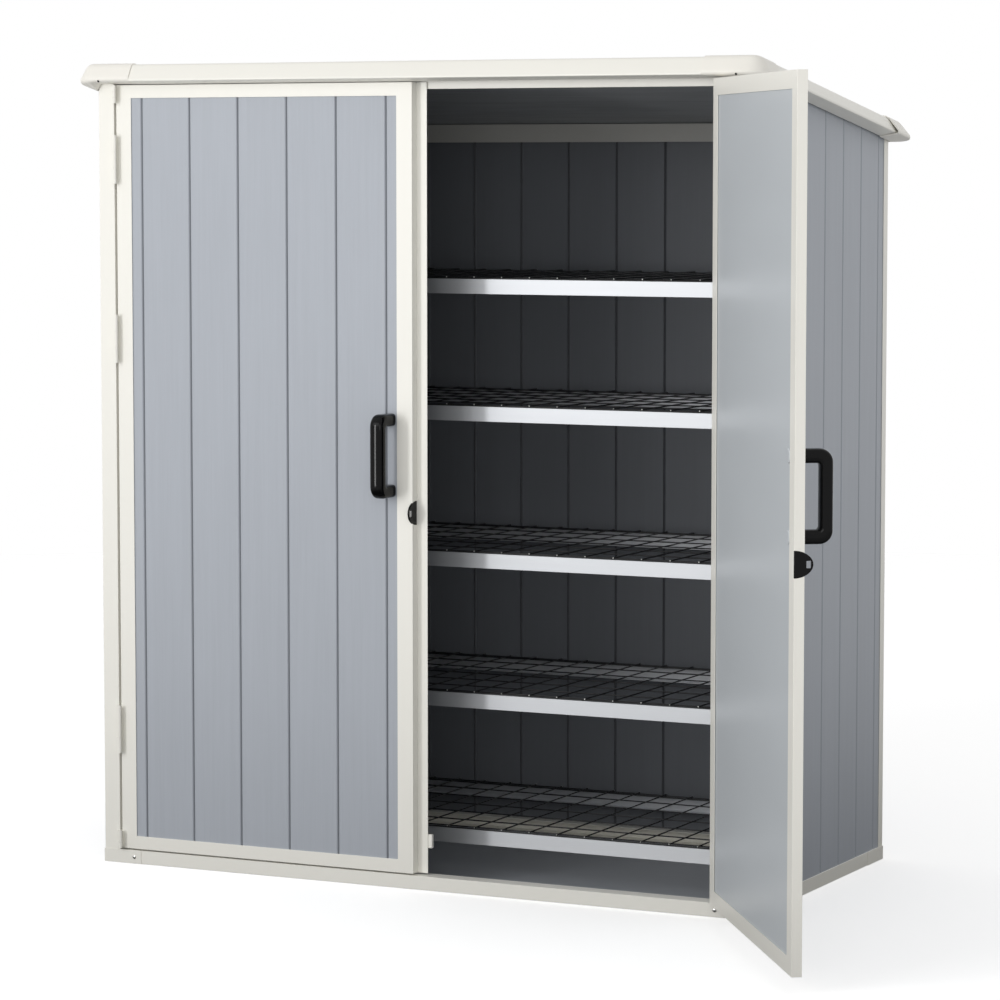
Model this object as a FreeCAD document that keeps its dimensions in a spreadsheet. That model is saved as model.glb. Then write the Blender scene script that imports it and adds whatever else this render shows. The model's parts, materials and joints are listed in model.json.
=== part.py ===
import FreeCAD, Part

import math
import os
import re

import Sketcher

# Garden storage cabinet: a metal shed-style cabinet with a pent roof, two board-faced doors and five
# wire shelves. X runs to the right across the front, Y to the back and Z up. The origin is the middle
# of the footprint on the ground. The left door is shut; the right door stands open, as it is used.

# Driving dimensions, in millimetres, degrees and counts.
SIZES = {
    "body_width": 1570,
    "body_depth": 796,
    "sheet_gauge": 1.0,
    "profile_gauge": 1.5,
    "seat_gap": 0.3,
    "cut_past": 1,
    "base_height": 30,
    "base_rail_depth": 40,
    "base_corner_leg": 96,
    "base_corner_gauge": 1.6,
    "floor_gauge": 1.5,
    "post_width": 39,
    "post_depth": 25,
    "door_bottom_gap": 3.5,
    "door_height": 1711.5,
    "door_thickness": 20.5,
    "door_side_gap": 6,
    "door_centre_gap": 3,
    "stile_width": 38,
    "door_top_rail": 29,
    "door_bottom_rail": 29.5,
    "back_stile_width": 41,
    "back_top_rail": 35,
    "back_bottom_rail": 34,
    "panel_recess": 2.5,
    "groove_width": 7,
    "groove_depth": 3.5,
    "board_pitch": 122,
    "side_board_pitch": 108.3,
    "side_last_board": 31.6,
    "door_first_board": 26.5,
    "header_depth": 22,
    "header_height": 47,
    "rear_rail_depth": 14,
    "rear_rail_height": 41.5,
    "roof_over_doors": 49,
    "roof_slope": 0.154,
    "roof_overhang": 40,
    "roof_sheet_inset": 26,
    "trim_height": 42,
    "trim_bevel": 20,
    "trim_nose_drop": 31,
    "trim_lip_drop": 35,
    "trim_flange": 40,
    "trim_wall_gap": 4,
    "front_trim_height": 41.5,
    "front_trim_nose_drop": 38,
    "front_trim_lip_drop": 42,
    "front_trim_wall_gap": 1,
    "cap_front_leg": 140,
    "cap_side_leg": 105,
    "cap_side_height": 52,
    "cap_door_relief": 3.5,
    "cap_gauge": 2.5,
    "cap_clearance": 0.3,
    "cap_nose_room": 6,
    "cap_corner_radius": 40,
    "cap_flange": 38,
    "cap_lap": 26,
    "hinge_pivot_inset": 9,
    "hinge_pivot_proud": 12.5,
    "hinge_barrel_radius": 3.5,
    "hinge_pin_radius": 1.6,
    "hinge_pin_clearance": 0.05,
    "hinge_pin_head": 1.5,
    "hinge_leaf_gauge": 1.5,
    "hinge_leaf_depth": 26,
    "hinge_leaf_clearance": 1,
    "hinge_height": 106,
    "hinge_short_height": 38,
    "hinge_knuckle_gap": 0.5,
    "hinge_upper_drop": 165,
    "hinge_middle_drop": 563,
    "hinge_lower_rise": 270.5,
    "hinge_end_inset": 21,
    "handle_offset": 56,
    "handle_z": 944,
    "handle_height": 182,
    "handle_width": 32,
    "handle_reach": 66,
    "handle_grip": 26,
    "handle_arm": 28,
    "handle_corner_radius": 22,
    "handle_inner_radius": 5,
    "handle_edge_radius": 8,
    "bolt_radius": 2.5,
    "bolt_depth": 14,
    "bolt_clearance": 0.2,
    "washer_radius": 14,
    "washer_height": 3,
    "latch_z": 820,
    "latch_height": 52,
    "latch_reach": 17,
    "latch_plate": 4,
    "latch_hole_height": 14,
    "latch_hole_depth": 9,
    "latch_hole_setback": 4.5,
    "astragal_lap": 25,
    "astragal_seat": 24,
    "astragal_gauge": 2,
    "astragal_step": 0.5,
    "catch_z": 104,
    "catch_height": 30,
    "catch_width": 22,
    "catch_proud": 9,
    "catch_gauge": 8,
    "shelf_setback": 160,
    "shelf_back_gap": 36,
    "shelf_end_inset": 47,
    "beam_height": 32,
    "beam_depth": 20,
    "deck_gauge": 4,
    "deck_end_gap": 2,
    "deck_wire_pitch": 66.7,
    "deck_row_pitch": 100,
    "upright_width": 30,
    "upright_head": 20,
    "shelf_first_z": 110.5,
    "shelf_second_z": 412.5,
    "shelf_third_z": 722.5,
    "shelf_fourth_z": 1044,
    "shelf_fifth_z": 1321.5,
    "screw_radius": 4.5,
    "screw_height": 2,
    "base_screw_inset": 77,
    "open_angle": 125,
}

SHELF_LEVELS = [
    ("shelf_1", "shelf_first_z"),
    ("shelf_2", "shelf_second_z"),
    ("shelf_3", "shelf_third_z"),
    ("shelf_4", "shelf_fourth_z"),
    ("shelf_5", "shelf_fifth_z"),
]

# Half sizes and lines that several pieces share, written once as expressions of the sheet.
HALF_W = "body_width / 2"
FRONT = "(0 - body_depth / 2)"
BACK = "body_depth / 2"
DOOR_Z0 = "(base_height + door_bottom_gap)"
DOOR_Z1 = "(base_height + door_bottom_gap + door_height)"
DOOR_OUT = "(body_width / 2 - post_width - door_side_gap)"
DOOR_IN = "(door_centre_gap / 2)"
DOOR_BACK = "(door_thickness - body_depth / 2)"
ROOF_UNDER = "(profile_gauge + seat_gap + sheet_gauge)"
WALL_DEPTH = "(profile_gauge + seat_gap + sheet_gauge + groove_depth)"
WALL_INNER = "(body_width / 2 - profile_gauge - sheet_gauge - groove_depth - 2 * seat_gap)"
ROOF_FRONT = "(0 - body_depth / 2 - roof_overhang)"
ROOF_TOP = "(base_height + door_bottom_gap + door_height + roof_over_doors)"
SHELF_FRONT = "(shelf_setback - body_depth / 2)"
SHELF_BACK = "(body_depth / 2 - shelf_back_gap)"
SHELF_HALF = "(body_width / 2 - shelf_end_inset)"
PIVOT_X = "(body_width / 2 - post_width - hinge_pivot_inset)"
PIVOT_Y = "(0 - body_depth / 2 - hinge_pivot_proud)"

# Numbers of the drawing itself, not of the object: the radius on which an outline's corners start
# before their constraints move them, how near two coordinates count as one, and the height of the
# space that is cleared above the roof.
START_RING = 100
NEAR = 0.01
CLEARED = 500

doc = FreeCAD.newDocument("garden_storage_cabinet")
sheet = doc.addObject("Spreadsheet::Sheet", "Sizes")
for row, (alias, value) in enumerate(SIZES.items(), start=1):
    sheet.set("A%d" % row, alias)
    sheet.set("B%d" % row, str(value))
    sheet.setAlias("B%d" % row, alias)
doc.recompute()

parts = []


def size(alias):
    """The number that the sheet holds for one alias."""
    return float(sheet.get(alias))


def bind(text):
    """An expression with each alias written as a cell of the sheet."""
    return re.sub(r"[a-z_]+", lambda m: "Sizes." + m[0] if m[0] in SIZES else m[0], str(text))


def keep(piece, label):
    """Names a finished sub-part."""
    piece.Label = label
    parts.append(piece)
    return piece


def place(piece, x="0", y="0", z="0"):
    for axis, text in zip("xyz", (x, y, z)):
        piece.setExpression("Placement.Base." + axis, bind(text))
    return piece


def box(x, y, z, width, depth, height):
    """A block from its low corner and its three sizes."""
    piece = doc.addObject("Part::Box", "Block")
    piece.setExpression("Length", bind(width))
    piece.setExpression("Width", bind(depth))
    piece.setExpression("Height", bind(height))
    return place(piece, x, y, z)


def span_box(side, inner, outer, y0, y1, z0, z1):
    """A block on one side of the cabinet: side is -1 for left and 1 for right, and inner and outer are
    distances from the middle plane."""
    low = inner if side > 0 else "0 - (%s)" % outer
    width = "(%s) - (%s)" % (outer, inner)
    depth = "(%s) - (%s)" % (y1, y0)
    return box(low, y0, z0, width, depth, "(%s) - (%s)" % (z1, z0))


def cylinder(x, y, z, radius, height, direction="Z"):
    """A round bar from the middle of its first end, along Y or Z."""
    piece = doc.addObject("Part::Cylinder", "Round")
    piece.setExpression("Radius", bind(radius))
    piece.setExpression("Height", bind(height))
    if direction == "Y":
        turn = FreeCAD.Rotation(FreeCAD.Vector(1, 0, 0), -90)
        piece.Placement = FreeCAD.Placement(FreeCAD.Vector(), turn)
    return place(piece, x, y, z)


def cut(base, *tools):
    for tool in tools:
        piece = doc.addObject("Part::Cut", "Cut")
        piece.Base = base
        piece.Tool = tool
        base = piece
    return base


def fuse(*shapes):
    piece = doc.addObject("Part::MultiFuse", "Joined")
    piece.Shapes = list(shapes)
    piece.Refine = True
    return piece


def group(*shapes):
    """Several loose solids of one kind, held in one node."""
    piece = doc.addObject("Part::Compound", "Set")
    piece.Links = list(shapes)
    return piece


def profile_body(corners, length, start, slanted=False):
    """A straight profile: a closed outline in Y and Z, padded along X from the plane at start. A
    slanted one is an outline in X and Z, padded to the front and up the roof's slope from start."""
    body = doc.addObject("PartDesign::Body", "Profile")
    sketch = body.newObject("Sketcher::SketchObject", "Outline")
    role = "XZ_Plane" if slanted else "YZ_Plane"
    plane = [item for item in body.Origin.OriginFeatures if item.Role == role][0]
    sketch.AttachmentSupport = (plane, [""])
    sketch.MapMode = "FlatFace"
    count = len(corners)
    ring = []
    for index in range(count):
        angle = 2 * math.pi * index / count
        ring.append(FreeCAD.Vector(START_RING * math.cos(angle), START_RING * math.sin(angle), 0))
    for index in range(count):
        sketch.addGeometry(Part.LineSegment(ring[index], ring[(index + 1) % count]), False)
    for index in range(count):
        sketch.addConstraint(Sketcher.Constraint("Coincident", index, 2, (index + 1) % count, 1))
    for index, (across, upward) in enumerate(corners):
        for kind, text, now in (("DistanceX", across, ring[index].x), ("DistanceY", upward, ring[index].y)):
            number = sketch.addConstraint(Sketcher.Constraint(kind, -1, 1, index, 1, now))
            sketch.setExpression("Constraints[%d]" % number, bind(text))
    pad = body.newObject("PartDesign::Pad", "Length")
    pad.Profile = sketch
    pad.setExpression("Length", bind(length))
    body.Tip = pad
    if slanted:
        pad.UseCustomVector = True
        pad.Direction = FreeCAD.Vector(0, -1, size("roof_slope"))
        return place(body, y=start)
    return place(body, x=start)


def roof_height(y, below="0"):
    """Height of the sloping roof plane at a depth y, less a drop below it."""
    return "(%s - roof_slope * ((%s) - %s) - (%s))" % (ROOF_TOP, y, ROOF_FRONT, below)


def edge_numbers(shape, wanted):
    """One-based numbers of the edges for which wanted(edge) is true."""
    return [number for number, edge in enumerate(shape.Edges, start=1) if wanted(edge)]


def fillet(base, choices):
    """Rounds chosen edges of a solid: choices is a list of edge numbers and radii."""
    piece = doc.addObject("Part::Fillet", "Rounded")
    piece.Base = base
    piece.Edges = [(number, radius, radius) for number, radius in choices]
    return piece


# Base frame and floor

def make_base():
    gauge = "profile_gauge"
    inner_end = "(body_width / 2 - base_rail_depth)"
    for label, y0, opening in (
        ("base_front_rail", FRONT, "(base_rail_depth - body_depth / 2 - profile_gauge)"),
        ("base_back_rail", "(body_depth / 2 - base_rail_depth)", "(body_depth / 2 - base_rail_depth)"),
    ):
        hollow_y = "(%s) + profile_gauge" % y0 if label == "base_front_rail" else opening
        rail = box("0 - body_width / 2", y0, "0", "body_width", "base_rail_depth", "base_height")
        hollow = box(
            "0 - body_width / 2", hollow_y, gauge,
            "body_width", "base_rail_depth - profile_gauge", "base_height - 2 * profile_gauge",
        )
        keep(cut(rail, hollow), label)
    for side, label in ((-1, "base_left_rail"), (1, "base_right_rail")):
        y0 = "base_rail_depth - body_depth / 2 + seat_gap"
        y1 = "body_depth / 2 - base_rail_depth - seat_gap"
        rail = span_box(side, inner_end, HALF_W, y0, y1, "0", "base_height")
        hollow = span_box(
            side, inner_end, "body_width / 2 - profile_gauge", y0, y1,
            gauge, "base_height - profile_gauge",
        )
        keep(cut(rail, hollow), label)


def make_base_corners():
    """Angle plates that wrap the four corners of the base frame."""
    out = "(body_width / 2 + base_corner_gauge)"
    for side, side_name in ((-1, "left"), (1, "right")):
        for end, end_name in ((-1, "front"), (1, "back")):
            deep = "(body_depth / 2 + base_corner_gauge)"
            y0 = "0 - %s" % deep if end < 0 else "%s - base_corner_leg" % deep
            y1 = "base_corner_leg - %s" % deep if end < 0 else deep
            in0 = FRONT if end < 0 else "%s - cut_past" % y0
            in1 = "%s + cut_past" % y1 if end < 0 else BACK
            outer = span_box(side, "%s - base_corner_leg" % out, out, y0, y1, "0", "base_height")
            inner = span_box(
                side, "%s - base_corner_leg - cut_past" % out, HALF_W, in0, in1,
                "0 - cut_past", "base_height + cut_past",
            )
            keep(cut(outer, inner), "base_corner_%s_%s" % (end_name, side_name))


def make_floor():
    """The floor sheet lies on the ground inside the base frame, with its front edge turned up."""
    x0 = "base_rail_depth + seat_gap - body_width / 2"
    y0 = "base_rail_depth + seat_gap - body_depth / 2"
    width = "body_width - 2 * (base_rail_depth + seat_gap)"
    depth = "body_depth - 2 * (base_rail_depth + seat_gap)"
    flat = box(x0, y0, "0", width, depth, "floor_gauge")
    lip = box(x0, y0, "0", width, "floor_gauge", "base_height - profile_gauge")
    keep(fuse(flat, lip), "floor_panel")


# Posts, top rails and walls

def make_posts():
    """Corner posts that stand on the base: channels at the front, whose inner faces carry the hinges,
    and angles at the back."""
    for side, side_name in ((-1, "left"), (1, "right")):
        for end, end_name in ((-1, "front"), (1, "back")):
            y0 = FRONT if end < 0 else "body_depth / 2 - post_depth"
            y1 = "post_depth - body_depth / 2" if end < 0 else BACK
            in0 = "%s + profile_gauge" % FRONT if end < 0 else "%s - cut_past" % y0
            in1 = "%s + cut_past" % y1 if end < 0 else "body_depth / 2 - profile_gauge"
            top = roof_height(y1, "%s + seat_gap" % ROOF_UNDER)
            inner = "body_width / 2 - post_width"
            post = span_box(side, inner, HALF_W, y0, y1, "base_height", top)
            hollow_from = "%s + profile_gauge" % inner if end < 0 else "%s - cut_past" % inner
            hollow = span_box(
                side, hollow_from, "body_width / 2 - profile_gauge", in0, in1,
                "base_height - cut_past", ROOF_TOP,
            )
            keep(cut(post, hollow), "post_%s_%s" % (end_name, side_name))


def make_header():
    """Front top rail behind the door heads, between the side walls and against the backs of the posts."""
    y0 = "(post_depth + seat_gap - body_depth / 2)"
    y1 = "(%s + header_depth)" % y0
    top = roof_height(y1, "%s + seat_gap" % ROOF_UNDER)
    half = WALL_INNER
    low = "%s - header_height" % top
    rail = box("0 - %s" % half, y0, low, "2 * %s" % half, "header_depth", "header_height")
    hollow = box(
        "0 - %s - cut_past" % half, "%s + profile_gauge" % y0, "%s + profile_gauge" % low,
        "2 * (%s + cut_past)" % half, "header_depth", "header_height - 2 * profile_gauge",
    )
    keep(cut(rail, hollow), "header_rail")


def make_rear_rail():
    """Rear top rail on the inner face of the back wall."""
    y1 = "(body_depth / 2 - %s - seat_gap)" % WALL_DEPTH
    y0 = "(%s - rear_rail_depth)" % y1
    top = roof_height(y1, "%s + seat_gap" % ROOF_UNDER)
    low = "%s - rear_rail_height" % top
    half = WALL_INNER
    rail = box("0 - %s" % half, y0, low, "2 * %s" % half, "rear_rail_depth", "rear_rail_height")
    hollow = box(
        "0 - %s - cut_past" % half, "%s + profile_gauge" % y0, "%s - cut_past" % low,
        "2 * (%s + cut_past)" % half, "rear_rail_depth - 2 * profile_gauge",
        "rear_rail_height - profile_gauge + cut_past",
    )
    keep(cut(rail, hollow), "rear_top_rail")


def board_outline(length, pitch, first):
    """The bent line of a board-faced sheet, as points along it and their depth: flat boards with a
    V groove between them. It is followed by the same line one gauge deeper, to close the section."""
    half = size("groove_width") / 2
    depth = size("groove_depth")
    gauge = size("sheet_gauge")
    line = [(0, 0)]
    centre = first
    while centre + half < length - 1:
        if centre - half > 1:
            line += [(centre - half, 0), (centre, -depth), (centre + half, 0)]
        centre += pitch
    line.append((length, 0))
    return line + [(along, across - gauge) for along, across in reversed(line)]


def board_sheet(label, outline, to_point, sweep, cutters=()):
    """A folded board sheet. to_point sets a point of the outline in space, and sweep is the
    direction and length of the boards."""
    points = [to_point(along, across) for along, across in outline]
    face = Part.Face(Part.makePolygon(points + points[:1]))
    shape = face.extrude(sweep)
    for cutter in cutters:
        shape = shape.cut(cutter)
    piece = doc.addObject("Part::Feature", "Boards")
    piece.Shape = shape
    return keep(piece, label)


def roof_level(y, drop=0):
    """The number for the height of the roof plane at a depth y, less a drop below it."""
    front = -size("body_depth") / 2 - size("roof_overhang")
    doors = size("base_height") + size("door_bottom_gap") + size("door_height")
    return doors + size("roof_over_doors") - size("roof_slope") * (y - front) - drop


def under_roof_cutter(drop):
    """The space above a plane that lies the given drop below the roof plane."""
    back = size("body_depth") / 2 + size("roof_overhang")
    high = roof_level(-back) + CLEARED
    wide = size("body_width")
    corners = [(-back, roof_level(-back, drop)), (back, roof_level(back, drop)), (back, high), (-back, high)]
    points = [FreeCAD.Vector(-wide, y, z) for y, z in corners]
    return Part.Face(Part.makePolygon(points + points[:1])).extrude(FreeCAD.Vector(2 * wide, 0, 0))


def make_walls():
    half_w = size("body_width") / 2
    half_d = size("body_depth") / 2
    gauge = size("profile_gauge")
    gap = size("seat_gap")
    base = size("base_height")
    tall = roof_level(-half_d) - base
    under = gauge + gap + size("sheet_gauge") + gap
    cutter = under_roof_cutter(under)
    up = FreeCAD.Vector(0, 0, tall)

    # side walls, lapped inside the post angles
    start = -half_d + gauge + gap
    length = size("body_depth") - 2 * (gauge + gap)
    last_to_back = size("side_last_board") + size("post_depth") - gauge - gap
    pitch = size("side_board_pitch")
    first = (length - last_to_back) % pitch
    outline = board_outline(length, pitch, first)
    for side, label in ((-1, "left_wall_panel"), (1, "right_wall_panel")):
        face_x = side * (half_w - gauge - gap)
        board_sheet(
            label, outline,
            lambda along, across, s=side, x=face_x: FreeCAD.Vector(x + s * across, start + along, base),
            up, [cutter],
        )

    # back wall, between the side walls
    inner = gauge + gap + size("sheet_gauge") + size("groove_depth") + gap
    length = size("body_width") - 2 * inner
    pitch = size("board_pitch")
    first = (length / 2) % pitch
    outline = board_outline(length, pitch, first)
    board_sheet(
        "back_wall_panel", outline,
        lambda along, across: FreeCAD.Vector(inner - half_w + along, half_d - gauge - gap + across, base),
        up, [cutter],
    )


# Roof

def make_roof():
    """Plain roof sheet that rests on the inner flanges of the trims."""
    half_w = "(body_width / 2 + roof_overhang - roof_sheet_inset)"
    half_d = "(body_depth / 2 + roof_overhang - roof_sheet_inset)"
    upper = "profile_gauge + seat_gap"
    lower = "profile_gauge + seat_gap + sheet_gauge"
    front = "(0 - %s)" % half_d
    corners = [
        (y, roof_height(y, drop))
        for y, drop in ((front, upper), (half_d, upper), (half_d, lower), (front, lower))
    ]
    keep(profile_body(corners, "2 * %s" % half_w, "0 - %s" % half_w), "roof_panel")


def moved_line(line, distance):
    """A bent line moved outwards by a distance, with each corner moved to where its sides meet."""
    normals = []
    for (x0, y0), (x1, y1) in zip(line, line[1:]):
        length = math.hypot(x1 - x0, y1 - y0)
        normals.append(((y0 - y1) / length, (x1 - x0) / length))
    moved = []
    for index, (x, y) in enumerate(line):
        before = normals[max(index - 1, 0)]
        after = normals[min(index, len(normals) - 1)]
        share = distance / (1 + before[0] * after[0] + before[1] * after[1])
        moved.append((x + share * (before[0] + after[0]), y + share * (before[1] + after[1])))
    return moved


def trim_section(kind=""):
    """The closed section of a roof trim, as insets from its nose and drops below the roof plane: the
    outer line from the top flange round the nose to the underside, and back along the inner face."""
    seat = "roof_overhang - %strim_wall_gap" % kind
    height = "%strim_height" % kind
    nose = "%strim_nose_drop" % kind
    lip = "%strim_lip_drop" % kind
    return [
        ("trim_flange", "0"),
        ("trim_bevel", "0"),
        ("0", nose),
        ("0", lip),
        (seat, height),
        (seat, "%s - profile_gauge" % height),
        ("profile_gauge", "%s - 3 * profile_gauge / 4" % lip),
        ("profile_gauge", "%s - profile_gauge / 3" % nose),
        ("trim_bevel + profile_gauge / 2", "profile_gauge"),
        ("trim_flange", "profile_gauge"),
    ]


def cap_section(kind, room, wall_gap, height):
    """The closed section of a roof cap, as insets from the nose and drops below the roof plane. It
    follows the outer line of a kind of trim at a small clearance, with more room at the nose."""
    line = [
        (size("cap_flange"), 0),
        (size("trim_bevel"), 0),
        (-room, size(kind + "trim_nose_drop")),
        (-room, size(kind + "trim_lip_drop")),
        (size("roof_overhang") - wall_gap, height),
    ]
    inside = moved_line(line, size("cap_clearance"))
    outside = moved_line(line, size("cap_clearance") + size("cap_gauge"))
    return outside + inside[::-1]


def swept(points, sweep):
    return Part.Face(Part.makePolygon(points + points[:1])).extrude(sweep)


def make_roof_trims():
    """Folded trims along the four roof edges, with a nose between a bevel and the underside. The front
    one is deeper. They butt against the front caps and run into the back caps."""
    nose_x = "(body_width / 2 + roof_overhang)"
    nose_y = "(body_depth / 2 + roof_overhang)"
    back_end = "(%s - cap_side_leg + cap_lap)" % nose_y
    run = "%s + %s - cap_side_leg - seat_gap" % (back_end, nose_y)
    for side, label in ((-1, "roof_trim_left"), (1, "roof_trim_right")):
        corners = [
            ("%s * (%s - (%s))" % (side, nose_x, inset), roof_height(back_end, drop))
            for inset, drop in trim_section()
        ]
        keep(profile_body(corners, run, back_end, slanted=True), label)
    for end, label, kind, past in (
        (-1, "roof_trim_front", "front_", "0 - seat_gap"), (1, "roof_trim_back", "", "cap_lap"),
    ):
        half_run = "(%s - cap_front_leg + (%s))" % (nose_x, past)
        corners = []
        for inset, drop in trim_section(kind):
            y = "(%s * (%s - (%s)))" % (end, nose_y, inset)
            corners.append((y, roof_height(y, drop)))
        keep(profile_body(corners, "2 * %s" % half_run, "0 - %s" % half_run), label)


def make_roof_caps():
    """Moulded caps at the four corners of the roof edge. Each is drawn level, as two legs and a quarter
    turn between them, and then slanted to the roof plane. The back ones lap loosely over the trims. The
    front ones are as deep as the front trim, deeper beside the wall and cut back above the doors."""
    gap = size("trim_wall_gap")
    loose = cap_section("", size("cap_nose_room"), gap, size("trim_height"))
    deep = cap_section("front_", 0, gap, size("cap_side_height"))
    over_doors = cap_section(
        "front_", 0, size("front_trim_wall_gap"), size("front_trim_height") - size("cap_door_relief"),
    )
    radius = size("cap_corner_radius")
    nose_x = size("body_width") / 2 + size("roof_overhang")
    nose_y = size("body_depth") / 2 + size("roof_overhang")
    slant = FreeCAD.Matrix()
    slant.A32 = -size("roof_slope")
    slant.A34 = roof_level(0)
    for side, side_name in ((-1, "left"), (1, "right")):
        for end, end_name, section, leg_section in (
            (-1, "front", deep, over_doors), (1, "back", loose, loose),
        ):
            turn_x = side * (nose_x - radius)
            turn_y = end * (nose_y - radius)
            leg = [FreeCAD.Vector(turn_x, end * (nose_y - inset), -drop) for inset, drop in leg_section]
            turned = [FreeCAD.Vector(turn_x, end * (nose_y - inset), -drop) for inset, drop in section]
            along = [FreeCAD.Vector(side * (nose_x - inset), turn_y, -drop) for inset, drop in section]
            front_leg = swept(leg, FreeCAD.Vector(side * (radius - size("cap_front_leg")), 0, 0))
            side_leg = swept(along, FreeCAD.Vector(0, end * (radius - size("cap_side_leg")), 0))
            quarter = Part.Face(Part.makePolygon(turned + turned[:1])).revolve(
                FreeCAD.Vector(turn_x, turn_y, 0), FreeCAD.Vector(0, 0, 1), -90 * side * end,
            )
            cap = quarter.fuse([front_leg, side_leg]).removeSplitter()
            piece = doc.addObject("Part::Feature", "Cap")
            piece.Shape = cap.transformGeometry(slant)
            keep(piece, "roof_cap_%s_%s" % (end_name, side_name))


def make_frame_screws():
    """Screw heads on the base corners, all of one pattern."""
    heads = []
    for side in (-1, 1):
        across = "%s * (body_width / 2 - base_screw_inset)" % side
        for end in (-1, 1):
            y = "%s * (body_depth / 2 + base_corner_gauge)" % end
            start = y if end > 0 else "%s - screw_height" % y
            heads.append(cylinder(across, start, "base_height / 2", "screw_radius", "screw_height", "Y"))
    keep(group(*heads), "frame_screws")


# Doors, modelled shut; the right one is then swung open about its hinge line

def swing_open(piece):
    """Turns a right-door piece about the right hinge line by the open angle."""
    pivot = FreeCAD.Vector(
        size("body_width") / 2 - size("post_width") - size("hinge_pivot_inset"),
        -size("body_depth") / 2 - size("hinge_pivot_proud"),
        0,
    )
    turn = FreeCAD.Rotation(FreeCAD.Vector(0, 0, 1), size("open_angle"))
    piece.Placement = FreeCAD.Placement(FreeCAD.Vector(), turn, pivot)
    return piece


def door_piece(side, piece, name):
    label = ("left_" if side < 0 else "right_") + name
    if side > 0:
        swing_open(piece)
    return keep(piece, label)


def make_door_frame(side):
    """Welded channel frame, open towards the panels that stand in it. Its back lip is the wider one."""
    gauge = "profile_gauge"
    outer = span_box(side, DOOR_IN, DOOR_OUT, FRONT, DOOR_BACK, DOOR_Z0, DOOR_Z1)
    window = span_box(
        side, "%s + stile_width" % DOOR_IN, "%s - stile_width" % DOOR_OUT,
        "%s - cut_past" % FRONT, "%s - %s" % (DOOR_BACK, gauge),
        "%s + door_bottom_rail" % DOOR_Z0, "%s - door_top_rail" % DOOR_Z1,
    )
    back_window = span_box(
        side, "%s + back_stile_width" % DOOR_IN, "%s - back_stile_width" % DOOR_OUT,
        "%s - %s - cut_past" % (DOOR_BACK, gauge), "%s + cut_past" % DOOR_BACK,
        "%s + back_bottom_rail" % DOOR_Z0, "%s - back_top_rail" % DOOR_Z1,
    )
    channel = span_box(
        side, "%s + %s" % (DOOR_IN, gauge), "%s - %s" % (DOOR_OUT, gauge),
        "%s + %s" % (FRONT, gauge), "%s - %s" % (DOOR_BACK, gauge),
        "%s + %s" % (DOOR_Z0, gauge), "%s - %s" % (DOOR_Z1, gauge),
    )
    latch_notch = doc.addObject("Part::Feature", "Notch")
    latch_notch.Shape = ear_plate(side, size("seat_gap"), size("cut_past"))
    door_piece(side, cut(outer, window, back_window, channel, latch_notch), "door_frame")


def bolt_points():
    """Heights of the two through-bolts of a handle."""
    reach = "(handle_height / 2 - handle_arm / 2)"
    return ["handle_z - %s" % reach, "handle_z + %s" % reach]


def make_door_panels(side):
    """The board-faced outer sheet and the smooth inner sheet, both inside the channel."""
    lap = size("profile_gauge") + size("seat_gap")
    x_in = size("door_centre_gap") / 2 + lap + size("latch_plate")
    x_out = size("body_width") / 2 - size("post_width") - size("door_side_gap") - lap
    z_low = size("base_height") + size("door_bottom_gap") + lap
    height = size("door_height") - 2 * lap
    front = -size("body_depth") / 2 + size("panel_recess")
    length = x_out - x_in
    first = size("door_centre_gap") / 2 + size("stile_width") + size("door_first_board") - x_in
    outline = board_outline(length, size("board_pitch"), first)
    bolts = []
    for sign in (-1, 1):
        level = size("handle_z") + sign * (size("handle_height") - size("handle_arm")) / 2
        across = side * (size("door_centre_gap") / 2 + size("handle_offset"))
        start = FreeCAD.Vector(across, front - size("bolt_depth"), level)
        bolts.append(Part.makeCylinder(
            size("bolt_radius") + size("bolt_clearance"), 2 * size("bolt_depth"), start,
            FreeCAD.Vector(0, 1, 0),
        ))
    outer = board_sheet(
        ("left_" if side < 0 else "right_") + "door_outer_panel", outline,
        lambda along, across: FreeCAD.Vector(side * (x_in + along), front - across, z_low),
        FreeCAD.Vector(0, 0, height), bolts,
    )
    if side > 0:
        swing_open(outer)

    lap_text = "(profile_gauge + seat_gap)"
    sheet_back = "(%s - panel_recess)" % DOOR_BACK
    inner = span_box(
        side, "%s + %s + latch_plate" % (DOOR_IN, lap_text), "%s - %s" % (DOOR_OUT, lap_text),
        "%s - sheet_gauge" % sheet_back, sheet_back,
        "%s + %s" % (DOOR_Z0, lap_text), "%s - %s" % (DOOR_Z1, lap_text),
    )
    holes = [
        cylinder(
            "%s * (%s + handle_offset)" % (side, DOOR_IN), "%s - sheet_gauge - cut_past" % sheet_back, level,
            "bolt_radius + bolt_clearance", "sheet_gauge + 2 * cut_past", "Y",
        )
        for level in bolt_points()
    ]
    door_piece(side, cut(inner, *holes), "door_inner_panel")


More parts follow.
